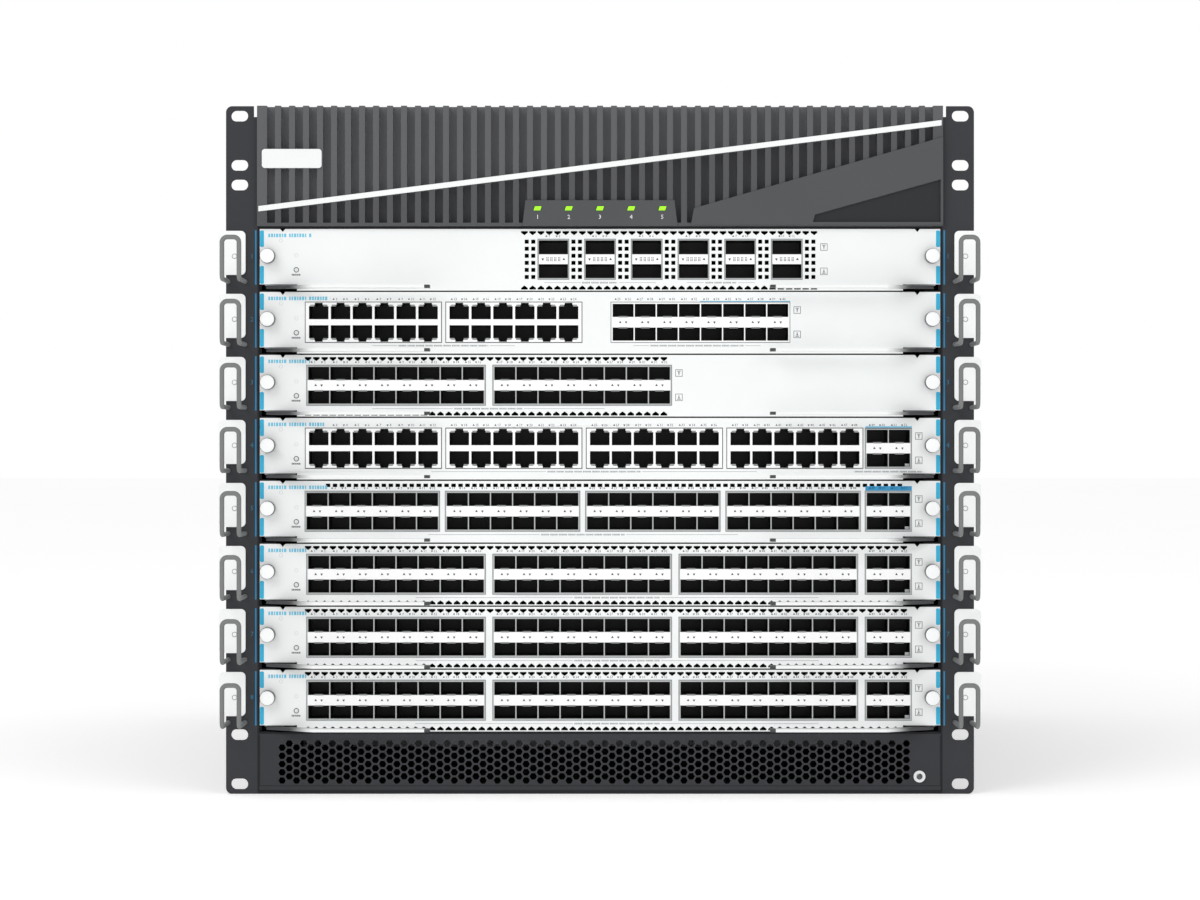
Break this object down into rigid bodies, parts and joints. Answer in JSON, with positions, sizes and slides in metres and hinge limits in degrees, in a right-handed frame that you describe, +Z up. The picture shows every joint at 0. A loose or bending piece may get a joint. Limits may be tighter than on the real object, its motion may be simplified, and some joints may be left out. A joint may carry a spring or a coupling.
{
  "type": "modular chassis switch",
  "caption": "Rack-mount modular network switch chassis with horizontal hot-swap line cards, ejector levers, ribbed top bezel, intake grille and side cable guides.",
  "frame": {"origin": "centre of the base's underside", "axes": "+Z up, front of the chassis faces -Y, +X to the right seen from the front"},
  "size_m": [0.4916, 0.618, 0.4437],
  "materials": {
    "frame_steel": "fine-texture black powder coat",
    "ear_steel": "satin dark grey powder coat",
    "cover_steel": "fine-texture black powder coat",
    "rail_plastic": "moulded black",
    "backplane_board": "green circuit board",
    "bezel_plastic": "moulded grey",
    "white_trim": "satin white",
    "lens": "lit green lens",
    "guide_plastic": "grey, white backing plate",
    "grille_steel": "dark grey powder coat",
    "socket_metal": "bright nickel",
    "card_white": "satin white-grey paint",
    "lever_metal": "white paint, dark grey root",
    "screw_metal": "white, knurled",
    "module_steel": "zinc-plated steel",
    "rotor_plastic": "moulded black"
  },
  "bodies": {
    "chassis": {"chassis_frame": "frame_steel", "top_cover": "cover_steel", "card_guides": "rail_plastic", "backplane": "backplane_board", "rack_ear_left": "ear_steel", "rack_ear_right": "ear_steel", "front_bezel": "bezel_plastic", "bezel_stripe": "white_trim", "badge_plate": "white_trim", "status_lenses": "lens", "intake_grille": "grille_steel", "esd_socket": "socket_metal", "cable_guides": "guide_plastic"},
    "card_1": {"line_card_1": "card_white"},
    "lever_left_1": {"lever_left_1": "lever_metal"},
    "thumbscrew_left_1": {"thumbscrew_left_1": "screw_metal"},
    "lever_right_1": {"lever_right_1": "lever_metal"},
    "thumbscrew_right_1": {"thumbscrew_right_1": "screw_metal"},
    "card_2": {"line_card_2": "card_white"},
    "lever_left_2": {"lever_left_2": "lever_metal"},
    "thumbscrew_left_2": {"thumbscrew_left_2": "screw_metal"},
    "lever_right_2": {"lever_right_2": "lever_metal"},
    "thumbscrew_right_2": {"thumbscrew_right_2": "screw_metal"},
    "card_3": {"line_card_3": "card_white"},
    "lever_left_3": {"lever_left_3": "lever_metal"},
    "thumbscrew_left_3": {"thumbscrew_left_3": "screw_metal"},
    "lever_right_3": {"lever_right_3": "lever_metal"},
    "thumbscrew_right_3": {"thumbscrew_right_3": "screw_metal"},
    "card_4": {"line_card_4": "card_white"},
    "lever_left_4": {"lever_left_4": "lever_metal"},
    "thumbscrew_left_4": {"thumbscrew_left_4": "screw_metal"},
    "lever_right_4": {"lever_right_4": "lever_metal"},
    "thumbscrew_right_4": {"thumbscrew_right_4": "screw_metal"},
    "card_5": {"line_card_5": "card_white"},
    "lever_left_5": {"lever_left_5": "lever_metal"},
    "thumbscrew_left_5": {"thumbscrew_left_5": "screw_metal"},
    "lever_right_5": {"lever_right_5": "lever_metal"},
    "thumbscrew_right_5": {"thumbscrew_right_5": "screw_metal"},
    "card_6": {"line_card_6": "card_white"},
    "lever_left_6": {"lever_left_6": "lever_metal"},
    "thumbscrew_left_6": {"thumbscrew_left_6": "screw_metal"},
    "lever_right_6": {"lever_right_6": "lever_metal"},
    "thumbscrew_right_6": {"thumbscrew_right_6": "screw_metal"},
    "card_7": {"line_card_7": "card_white"},
    "lever_left_7": {"lever_left_7": "lever_metal"},
    "thumbscrew_left_7": {"thumbscrew_left_7": "screw_metal"},
    "lever_right_7": {"lever_right_7": "lever_metal"},
    "thumbscrew_right_7": {"thumbscrew_right_7": "screw_metal"},
    "card_8": {"line_card_8": "card_white"},
    "lever_left_8": {"lever_left_8": "lever_metal"},
    "thumbscrew_left_8": {"thumbscrew_left_8": "screw_metal"},
    "lever_right_8": {"lever_right_8": "lever_metal"},
    "thumbscrew_right_8": {"thumbscrew_right_8": "screw_metal"},
    "fan_tray": {"fan_tray": "module_steel"},
    "fan_rotor_left": {"fan_rotor_left": "rotor_plastic"},
    "fan_rotor_right": {"fan_rotor_right": "rotor_plastic"},
    "power_supply_left": {"power_supply_left": "module_steel"},
    "power_supply_right": {"power_supply_right": "module_steel"},
    "control_module_left": {"control_module_left": "module_steel"},
    "control_module_right": {"control_module_right": "module_steel"}
  },
  "joints": [
    {"name": "card_slide_1", "type": "slide", "parent": "chassis", "child": "card_1", "axis": [0, -1, 0], "range_m": [0, 0.33]},
    {"name": "lever_swing_left_1", "type": "hinge", "parent": "card_1", "child": "lever_left_1", "pos_m": [-0.212, -0.274, 0.3267], "axis": [0, 0, -1], "range_deg": [0, 60]},
    {"name": "thumbscrew_turn_left_1", "type": "hinge", "parent": "card_1", "child": "thumbscrew_left_1", "pos_m": [-0.214, -0.28, 0.34675], "axis": [0, 1, 0], "continuous": true},
    {"name": "lever_swing_right_1", "type": "hinge", "parent": "card_1", "child": "lever_right_1", "pos_m": [0.212, -0.274, 0.3267], "axis": [0, 0, 1], "range_deg": [0, 60]},
    {"name": "thumbscrew_turn_right_1", "type": "hinge", "parent": "card_1", "child": "thumbscrew_right_1", "pos_m": [0.214, -0.28, 0.34675], "axis": [0, 1, 0], "continuous": true},
    {"name": "card_slide_2", "type": "slide", "parent": "chassis", "child": "card_2", "axis": [0, -1, 0], "range_m": [0, 0.33]},
    {"name": "lever_swing_left_2", "type": "hinge", "parent": "card_2", "child": "lever_left_2", "pos_m": [-0.212, -0.274, 0.28606], "axis": [0, 0, -1], "range_deg": [0, 60]},
    {"name": "thumbscrew_turn_left_2", "type": "hinge", "parent": "card_2", "child": "thumbscrew_left_2", "pos_m": [-0.214, -0.28, 0.30611], "axis": [0, 1, 0], "continuous": true},
    {"name": "lever_swing_right_2", "type": "hinge", "parent": "card_2", "child": "lever_right_2", "pos_m": [0.212, -0.274, 0.28606], "axis": [0, 0, 1], "range_deg": [0, 60]},
    {"name": "thumbscrew_turn_right_2", "type": "hinge", "parent": "card_2", "child": "thumbscrew_right_2", "pos_m": [0.214, -0.28, 0.30611], "axis": [0, 1, 0], "continuous": true},
    {"name": "card_slide_3", "type": "slide", "parent": "chassis", "child": "card_3", "axis": [0, -1, 0], "range_m": [0, 0.33]},
    {"name": "lever_swing_left_3", "type": "hinge", "parent": "card_3", "child": "lever_left_3", "pos_m": [-0.212, -0.274, 0.24542], "axis": [0, 0, -1], "range_deg": [0, 60]},
    {"name": "thumbscrew_turn_left_3", "type": "hinge", "parent": "card_3", "child": "thumbscrew_left_3", "pos_m": [-0.214, -0.28, 0.26547], "axis": [0, 1, 0], "continuous": true},
    {"name": "lever_swing_right_3", "type": "hinge", "parent": "card_3", "child": "lever_right_3", "pos_m": [0.212, -0.274, 0.24542], "axis": [0, 0, 1], "range_deg": [0, 60]},
    {"name": "thumbscrew_turn_right_3", "type": "hinge", "parent": "card_3", "child": "thumbscrew_right_3", "pos_m": [0.214, -0.28, 0.26547], "axis": [0, 1, 0], "continuous": true},
    {"name": "card_slide_4", "type": "slide", "parent": "chassis", "child": "card_4", "axis": [0, -1, 0], "range_m": [0, 0.33]},
    {"name": "lever_swing_left_4", "type": "hinge", "parent": "card_4", "child": "lever_left_4", "pos_m": [-0.212, -0.274, 0.20478], "axis": [0, 0, -1], "range_deg": [0, 60]},
    {"name": "thumbscrew_turn_left_4", "type": "hinge", "parent": "card_4", "child": "thumbscrew_left_4", "pos_m": [-0.214, -0.28, 0.22483], "axis": [0, 1, 0], "continuous": true},
    {"name": "lever_swing_right_4", "type": "hinge", "parent": "card_4", "child": "lever_right_4", "pos_m": [0.212, -0.274, 0.20478], "axis": [0, 0, 1], "range_deg": [0, 60]},
    {"name": "thumbscrew_turn_right_4", "type": "hinge", "parent": "card_4", "child": "thumbscrew_right_4", "pos_m": [0.214, -0.28, 0.22483], "axis": [0, 1, 0], "continuous": true},
    {"name": "card_slide_5", "type": "slide", "parent": "chassis", "child": "card_5", "axis": [0, -1, 0], "range_m": [0, 0.33]},
    {"name": "lever_swing_left_5", "type": "hinge", "parent": "card_5", "child": "lever_left_5", "pos_m": [-0.212, -0.274, 0.16414], "axis": [0, 0, -1], "range_deg": [0, 60]},
    {"name": "thumbscrew_turn_left_5", "type": "hinge", "parent": "card_5", "child": "thumbscrew_left_5", "pos_m": [-0.214, -0.28, 0.18419], "axis": [0, 1, 0], "continuous": true},
    {"name": "lever_swing_right_5", "type": "hinge", "parent": "card_5", "child": "lever_right_5", "pos_m": [0.212, -0.274, 0.16414], "axis": [0, 0, 1], "range_deg": [0, 60]},
    {"name": "thumbscrew_turn_right_5", "type": "hinge", "parent": "card_5", "child": "thumbscrew_right_5", "pos_m": [0.214, -0.28, 0.18419], "axis": [0, 1, 0], "continuous": true},
    {"name": "card_slide_6", "type": "slide", "parent": "chassis", "child": "card_6", "axis": [0, -1, 0], "range_m": [0, 0.33]},
    {"name": "lever_swing_left_6", "type": "hinge", "parent": "card_6", "child": "lever_left_6", "pos_m": [-0.212, -0.274, 0.1235], "axis": [0, 0, -1], "range_deg": [0, 60]},
    {"name": "thumbscrew_turn_left_6", "type": "hinge", "parent": "card_6", "child": "thumbscrew_left_6", "pos_m": [-0.214, -0.28, 0.14355], "axis": [0, 1, 0], "continuous": true},
    {"name": "lever_swing_right_6", "type": "hinge", "parent": "card_6", "child": "lever_right_6", "pos_m": [0.212, -0.274, 0.1235], "axis": [0, 0, 1], "range_deg": [0, 60]},
    {"name": "thumbscrew_turn_right_6", "type": "hinge", "parent": "card_6", "child": "thumbscrew_right_6", "pos_m": [0.214, -0.28, 0.14355], "axis": [0, 1, 0], "continuous": true},
    {"name": "card_slide_7", "type": "slide", "parent": "chassis", "child": "card_7", "axis": [0, -1, 0], "range_m": [0, 0.33]},
    {"name": "lever_swing_left_7", "type": "hinge", "parent": "card_7", "child": "lever_left_7", "pos_m": [-0.212, -0.274, 0.08286], "axis": [0, 0, -1], "range_deg": [0, 60]},
    {"name": "thumbscrew_turn_left_7", "type": "hinge", "parent": "card_7", "child": "thumbscrew_left_7", "pos_m": [-0.214, -0.28, 0.10291], "axis": [0, 1, 0], "continuous": true},
    {"name": "lever_swing_right_7", "type": "hinge", "parent": "card_7", "child": "lever_right_7", "pos_m": [0.212, -0.274, 0.08286], "axis": [0, 0, 1], "range_deg": [0, 60]},
    {"name": "thumbscrew_turn_right_7", "type": "hinge", "parent": "card_7", "child": "thumbscrew_right_7", "pos_m": [0.214, -0.28, 0.10291], "axis": [0, 1, 0], "continuous": true},
    {"name": "card_slide_8", "type": "slide", "parent": "chassis", "child": "card_8", "axis": [0, -1, 0], "range_m": [0, 0.33]},
    {"name": "lever_swing_left_8", "type": "hinge", "parent": "card_8", "child": "lever_left_8", "pos_m": [-0.212, -0.274, 0.04222], "axis": [0, 0, -1], "range_deg": [0, 60]},
    {"name": "thumbscrew_turn_left_8", "type": "hinge", "parent": "card_8", "child": "thumbscrew_left_8", "pos_m": [-0.214, -0.28, 0.06227], "axis": [0, 1, 0], "continuous": true},
    {"name": "lever_swing_right_8", "type": "hinge", "parent": "card_8", "child": "lever_right_8", "pos_m": [0.212, -0.274, 0.04222], "axis": [0, 0, 1], "range_deg": [0, 60]},
    {"name": "thumbscrew_turn_right_8", "type": "hinge", "parent": "card_8", "child": "thumbscrew_right_8", "pos_m": [0.214, -0.28, 0.06227], "axis": [0, 1, 0], "continuous": true},
    {"name": "fan_tray_slide", "type": "slide", "parent": "chassis", "child": "fan_tray", "axis": [0, 1, 0], "range_m": [0, 0.1]},
    {"name": "fan_spin_left", "type": "hinge", "parent": "fan_tray", "child": "fan_rotor_left", "pos_m": [-0.108, 0.24, 0.20236], "axis": [0, 1, 0], "continuous": true},
    {"name": "fan_spin_right", "type": "hinge", "parent": "fan_tray", "child": "fan_rotor_right", "pos_m": [0.108, 0.24, 0.20236], "axis": [0, 1, 0], "continuous": true},
    {"name": "power_supply_slide_left", "type": "slide", "parent": "chassis", "child": "power_supply_left", "axis": [0, 1, 0], "range_m": [0, 0.27]},
    {"name": "power_supply_slide_right", "type": "slide", "parent": "chassis", "child": "power_supply_right", "axis": [0, 1, 0], "range_m": [0, 0.27]},
    {"name": "control_module_slide_left", "type": "slide", "parent": "chassis", "child": "control_module_left", "axis": [0, 1, 0], "range_m": [0, 0.22]},
    {"name": "control_module_slide_right", "type": "slide", "parent": "chassis", "child": "control_module_right", "axis": [0, 1, 0], "range_m": [0, 0.22]}
  ]
}
